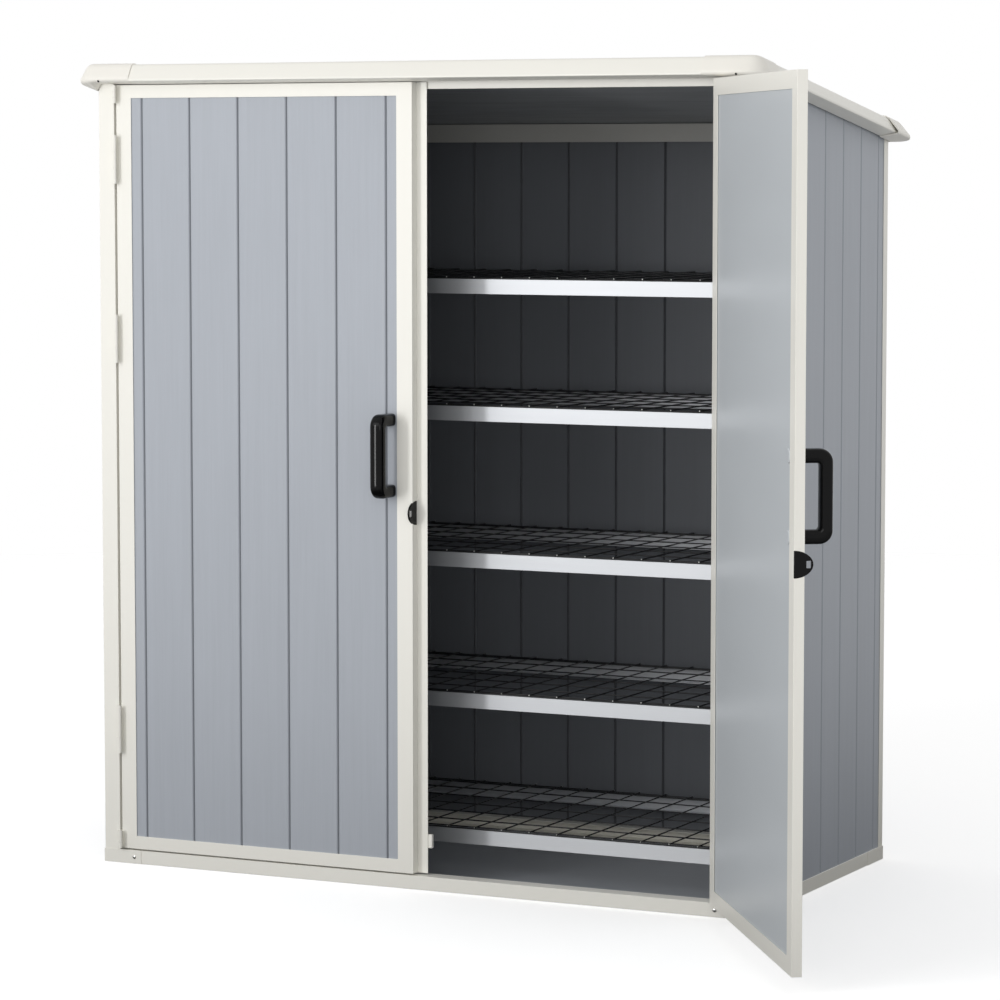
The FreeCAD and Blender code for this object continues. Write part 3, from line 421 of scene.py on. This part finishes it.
# Handle bolts: flat painted covers on the inner sheet. Profiles are (height, radius) in millimetres.

COVER = [(0, 14), (1.6, 14), (2.4, 13.6), (2.8, 12.8), (2.9, 11.6), (2.9, 2)]
COVER_RADIUS = 14 * MM
COVER_SEAT = 3 * MM         # how far a cover's foot lies behind the bolts' furthest point

bolt_low, bolt_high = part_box("left_door_handle_bolts")
covers = together([
    lathe(((bolt_low.x + bolt_high.x) / 2, bolt_high.y - COVER_SEAT, level), (0, 1, 0), COVER)
    for level in (bolt_low.z + COVER_RADIUS, bolt_high.z - COVER_RADIUS)
])
for side in ("left", "right"):
    piece(
        side + "_handle_washers", on_door(side, covers), side + "_door", "inner_sheet",
        [side + "_door_handle_bolts"],
    )


# Wire decks: long wires from left to right, and cross wires on them with bare steel tips

SHELVES = 5
WIRE = 1.5 * MM             # radius
CROSS_RISE = 1.9 * WIRE     # the cross wires lie this far above the long ones
LONG_PITCH = 100 * MM
LONG_INSET = 5 * MM
EDGE_WIRE_INSET = 24 * MM
CROSS_PITCH = 66.7 * MM
CROSS_INSET = 2 * MM
BARE_TIP = 1.6 * MM
COAT_END = 1.5 * MM
TIP_RADIUS = 0.99 * WIRE


def deck_forms(low, high):
    """The coated wires and the bare tips of one deck."""
    width, depth = high.x - low.x, high.y - low.y
    columns = round((width - 2 * CROSS_INSET) / CROSS_PITCH)
    rows = round((depth - 2 * CROSS_INSET) / LONG_PITCH)
    lower = low.z + WIRE
    upper = lower + CROSS_RISE
    long_places = [low.y + LONG_INSET + (depth - 2 * LONG_INSET) * row / rows for row in range(rows + 1)]
    long_places += [low.y + EDGE_WIRE_INSET, high.y - EDGE_WIRE_INSET]
    coats = [rod((low.x, y, lower), (high.x, y, lower), WIRE) for y in long_places]
    tips = []
    for column in range(columns + 1):
        x = low.x + CROSS_INSET + (width - 2 * CROSS_INSET) * column / columns
        coats.append(rod((x, low.y + COAT_END, upper), (x, high.y - COAT_END, upper), WIRE))
        tips.append(rod((x, low.y, upper), (x, low.y + BARE_TIP, upper), TIP_RADIUS))
        tips.append(rod((x, high.y - BARE_TIP, upper), (x, high.y, upper), TIP_RADIUS))
    return together(coats), together(tips)


for number in range(1, SHELVES + 1):
    node = "shelf_%d_deck" % number
    coats, tips = deck_forms(*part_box(node))
    marks = [0] * len(coats[1]) + [1] * len(tips[1])
    piece(
        "shelf_%d_wires" % number, together([coats, tips]), "cabinet", "black_wire", [node],
        sharp=50, second="screw_steel", marks=marks,
    )


# Roof edge: trims and caps as folded strips with rounded bends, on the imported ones' own lines

NOSE_X = 825 * MM           # the trims' furthest reach to the sides
NOSE_Y = 438 * MM           # and to the front and back
ROOF_TOP = 1794 * MM        # the roof's height at its front edge
SLOPE = 0.154
TRIM_DEPTHS = (-1.5, 0)     # what a trim's section spans outside its line, in millimetres
CAP_DEPTHS = (0.3, 2.8)
CAP_TURN = 40 * MM          # radius of a cap's corner
CAP_LEG_X = 140 * MM        # where a cap's leg along the front or back ends, from the nose
CAP_LEG_Y = 105 * MM        # and its leg along the side
CAP_TURN_LEAD = 8 * MM
CAP_TURN_STEPS = 12
BEND_CUTS = 5

# Each line is a row of ((inset from the nose, drop below the roof's top), reach of its bend), in millimetres.
SIDE_LINE = [((40, 0), 0), ((20, 0), 9), ((0, 31), 1.9), ((0, 35), 1.9), ((36, 42), 0)]
FRONT_LINE = [((40, 0), 0), ((20, 0), 9), ((0, 38), 1.9), ((0, 41.5), 1.7), ((39, 41.5), 0)]
BACK_CAP_LINE = [((38, 0), 0), ((20, 0), 9), ((-6, 31), 1.9), ((-6, 35), 1.9), ((36, 42), 0)]
CORNER_LINE = [((38, 0), 0), ((20, 0), 12), ((0, 39.5), 8), ((36, 52), 0)]
OVER_DOOR_LINE = [((38, 0), 0), ((20, 0), 12), ((0, 39.5), 8), ((39, 38), 0)]


def rounded(line):
    """A bent line with a curve in place of each corner, from so far before it to so far after it."""
    bare = [Vector(point) for point, _ in line]
    smooth = []
    for index, (_, reach) in enumerate(line):
        corner = bare[index]
        if not reach:
            smooth.append(corner)
            continue
        start = corner + (bare[index - 1] - corner).normalized() * reach
        end = corner + (bare[index + 1] - corner).normalized() * reach
        for cut in range(BEND_CUTS + 1):
            share = cut / BEND_CUTS
            smooth.append(
                start * (1 - share) ** 2 + corner * 2 * share * (1 - share) + end * share ** 2
            )
    return smooth


def beside(line, distance):
    """A line at a distance outside another one."""
    moved = []
    for index, point in enumerate(line):
        before = line[max(index - 1, 0)]
        after = line[min(index + 1, len(line) - 1)]
        along = (after - before).normalized()
        moved.append(point + Vector((-along.y, along.x)) * distance)
    return moved


def strip(line, depths):
    """The closed section of a folded strip, between two distances outside its line."""
    near, far = depths
    smooth = rounded(line)
    section = beside(smooth, far) + list(reversed(beside(smooth, near)))
    return [(point.x * MM, point.y * MM) for point in section]


def on_roof(x, y, drop):
    return Vector((x, y, ROOF_TOP - SLOPE * (y + NOSE_Y) - drop))


def side_ring(section, side, y):
    return [on_roof(side * (NOSE_X - inset), y, drop) for inset, drop in section]


def end_ring(section, end, x):
    return [on_roof(x, end * (NOSE_Y - inset), drop) for inset, drop in section]


def corner_ring(section, side, end, angle):
    """A ring part of the way round a corner, from the front or back, at 0, to the side."""
    turn_x, turn_y = side * (NOSE_X - CAP_TURN), end * (NOSE_Y - CAP_TURN)
    return [
        on_roof(
            turn_x + side * (CAP_TURN - inset) * math.sin(angle),
            turn_y + end * (CAP_TURN - inset) * math.cos(angle), drop,
        )
        for inset, drop in section
    ]


def edge_piece(node, rings, flip):
    """A form swept along the roof's edge, which stands for a packed trim or cap."""
    form = flipped(skin(rings)) if flip else skin(rings)
    slot = "cap_plastic" if "cap" in node else "cream_paint"
    piece(node + "_form", form, "cabinet", slot, [node], sharp=40)


def make_trims():
    for side, name in ((-1, "roof_trim_left"), (1, "roof_trim_right")):
        section = strip(SIDE_LINE, TRIM_DEPTHS)
        edge_piece(name, [side_ring(section, side, corner.y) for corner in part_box(name)], side > 0)
    for end, name, line in ((-1, "roof_trim_front", FRONT_LINE), (1, "roof_trim_back", SIDE_LINE)):
        section = strip(line, TRIM_DEPTHS)
        edge_piece(name, [end_ring(section, end, corner.x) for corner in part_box(name)], end < 0)


def make_cap(side, side_name, end, end_name):
    leg = strip(OVER_DOOR_LINE if end < 0 else BACK_CAP_LINE, CAP_DEPTHS)
    corner = strip(CORNER_LINE if end < 0 else BACK_CAP_LINE, CAP_DEPTHS)
    turn_x = side * (NOSE_X - CAP_TURN)
    rings = [end_ring(leg, end, x) for x in (side * (NOSE_X - CAP_LEG_X), turn_x - side * CAP_TURN_LEAD)]
    for step in range(CAP_TURN_STEPS + 1):
        rings.append(corner_ring(corner, side, end, math.pi / 2 * step / CAP_TURN_STEPS))
    rings.append(side_ring(corner, side, end * (NOSE_Y - CAP_LEG_Y)))
    edge_piece("roof_cap_%s_%s" % (end_name, side_name), rings, side * end > 0)


make_trims()
for side, side_name in ((-1, "left"), (1, "right")):
    for end, end_name in ((-1, "front"), (1, "back")):
        make_cap(side, side_name, end, end_name)


# Domed screw heads in the base, and small dark plugs in the front caps

SCREW_HEAD = [(0, 4.5), (0.5, 4.5), (1.1, 4.1), (1.6, 3.2), (1.9, 1.8), (2.0, 0.5)]
SCREW_RADIUS = 4.5 * MM
SCREW_HEIGHT = 2 * MM
PLUG = [(-5, 2.4), (-0.2, 2.4), (0, 2.0), (0, 0.4)]
PLUG_X = 762 * MM
PLUG_Y = -437.4 * MM
PLUG_Z = 1752.8 * MM

screws_low, screws_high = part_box("frame_screws")
screw_z = (screws_low.z + screws_high.z) / 2
heads = [
    lathe((x, y - end * SCREW_HEIGHT, screw_z), (0, end, 0), SCREW_HEAD, sides=20)
    for end, y in ((-1, screws_low.y), (1, screws_high.y))
    for x in (screws_low.x + SCREW_RADIUS, screws_high.x - SCREW_RADIUS)
]
piece("base_screw_heads", together(heads), "cabinet", "screw_steel", ["frame_screws"])

plugs = [lathe((side * PLUG_X, PLUG_Y, PLUG_Z), (0, -1, -0.6), PLUG, sides=14) for side in (-1, 1)]
piece("roof_cap_plugs", together(plugs), "cabinet", "black_plastic")


# Softened edges on the folded and moulded parts

def soften(name, width):
    weld = nodes[name].modifiers.new("weld", "WELD")
    weld.merge_threshold = 0.02 * MM
    bevel = nodes[name].modifiers.new("edges", "BEVEL")
    bevel.width = width
    bevel.segments = 2
    bevel.limit_method = "ANGLE"
    bevel.angle_limit = math.radians(40)
    bevel.harden_normals = True


for name in nodes:
    if name.endswith(("latch_ear", "door_catch")):
        soften(name, 0.9 * MM)
    elif name.startswith(("post_", "header", "base_")) or name.endswith(("door_frame", "astragal")):
        soften(name, 0.6 * MM)


# Stage floor: pale, with the object's shadow, and clear again where it ends. It sends less light up close
# to the object than further out.

FLOOR_SIDES = 96
FLOOR_RADII = (0.01, 1, 2, 4, 7, 11)
FLOOR_LEVEL = -0.5 * MM
FLOOR_COLOUR = (0.93, 0.93, 0.93, 1)
FLOOR_GLOW = 0.42           # added for the camera alone
CLEAR_FROM, CLEAR_TO = 2.2, 9.5
BOUNCE_FROM, BOUNCE_TO = 1.1, 3.0
BOUNCE_NEAR, BOUNCE_FAR = 0.12, 0.85


def floor_material():
    material = bpy.data.materials.new("studio_floor")
    tree = Tree(material)
    shader = tree.nodes["Principled BSDF"]
    shader.inputs["Roughness"].default_value = 0.85
    shader.inputs["Specular IOR Level"].default_value = 0.1
    shader.inputs["Emission Color"].default_value = (1, 1, 1, 1)
    seen = tree.add("ShaderNodeLightPath").outputs["Is Camera Ray"]
    place = tree.add("ShaderNodeTexCoord").outputs["Object"]
    reach = tree.vector("LENGTH", place).outputs["Value"]
    bounce = tree.ramp(reach, BOUNCE_FROM, BOUNCE_TO, BOUNCE_NEAR, BOUNCE_FAR, "SMOOTHSTEP")
    tree.put(tree.blend(seen, bounce, FLOOR_COLOUR), shader.inputs["Base Color"])
    tree.put(tree.number("MULTIPLY", seen, FLOOR_GLOW), shader.inputs["Emission Strength"])
    mix = tree.add("ShaderNodeMixShader")
    tree.put(tree.ramp(reach, CLEAR_FROM, CLEAR_TO, 0, 1, "SMOOTHSTEP"), mix.inputs[0])
    tree.put(shader.outputs[0], mix.inputs[1])
    tree.put(tree.add("ShaderNodeBsdfTransparent").outputs[0], mix.inputs[2])
    tree.put(mix.outputs[0], tree.nodes["Material Output"].inputs["Surface"])
    return material


def floor_point(radius, index):
    angle = 2 * math.pi * index / FLOOR_SIDES
    return Vector((radius * math.cos(angle), radius * math.sin(angle), FLOOR_LEVEL))


def stage_floor():
    rings = [[floor_point(radius, index) for index in range(FLOOR_SIDES)] for radius in FLOOR_RADII]
    points, faces = skin(rings, closed_ends=False)
    mesh = bpy.data.meshes.new("studio_floor")
    mesh.from_pydata([tuple(p) for p in points], [], faces)
    mesh.materials.append(floor_material())
    floor = bpy.data.objects.new("studio_floor", mesh)
    bpy.context.scene.collection.objects.link(floor)


# Lamps, world and camera

WORLD_LIGHT = 0.6


def lamp(name, place, target, width, height, power):
    light = bpy.data.lights.new(name, "AREA")
    light.shape = "RECTANGLE"
    light.size = width
    light.size_y = height
    light.energy = power
    item = bpy.data.objects.new(name, light)
    bpy.context.scene.collection.objects.link(item)
    item.location = place
    item.rotation_euler = (Vector(target) - Vector(place)).to_track_quat("-Z", "Y").to_euler()


def world_light():
    """An even pale surrounding, which the camera and the reflections see as white."""
    world = bpy.data.worlds.new("studio")
    bpy.context.scene.world = world
    tree = Tree(world)
    back = tree.nodes["Background"]
    back.inputs["Color"].default_value = (1, 1, 1, 1)
    rays = tree.add("ShaderNodeLightPath").outputs
    mirrored = tree.number("MAXIMUM", rays["Is Camera Ray"], rays["Is Glossy Ray"])
    seen = tree.number("MAXIMUM", mirrored, rays["Is Transmission Ray"])
    tree.put(tree.ramp(seen, 0, 1, WORLD_LIGHT, 1), back.inputs["Strength"])


stage_floor()
world_light()
lamp("key", (-2.2, -6.0, 3.3), (0, -0.3, 1.0), 4.0, 3.2, 76)
lamp("front_fill", (2.6, -6.2, 2.2), (0, -0.3, 1.0), 2.4, 2.4, 46)
lamp("left_strip", (-3.3, -6.6, 1.3), (0, -0.4, 0.9), 0.6, 2.6, 75)

# The camera stands where a fit to the photograph puts it: to the right, looking down by 5 degrees.
CAMERA_PLACE = (3.7683, -7.6936, 1.5639)
CAMERA_DOWN = 4.9742
CAMERA_TURN = 26.0118
CAMERA_LENS = 137.69

camera_data = bpy.data.cameras.new("camera")
camera_data.sensor_width = 36
camera_data.lens = CAMERA_LENS
camera_data.clip_start = 0.1
camera_data.clip_end = 100
camera = bpy.data.objects.new("camera", camera_data)
bpy.context.scene.collection.objects.link(camera)
camera.location = CAMERA_PLACE
camera.rotation_euler = (math.radians(90 - CAMERA_DOWN), 0, math.radians(CAMERA_TURN))
bpy.context.scene.camera = camera
bpy.context.scene.view_settings.view_transform = "Standard"
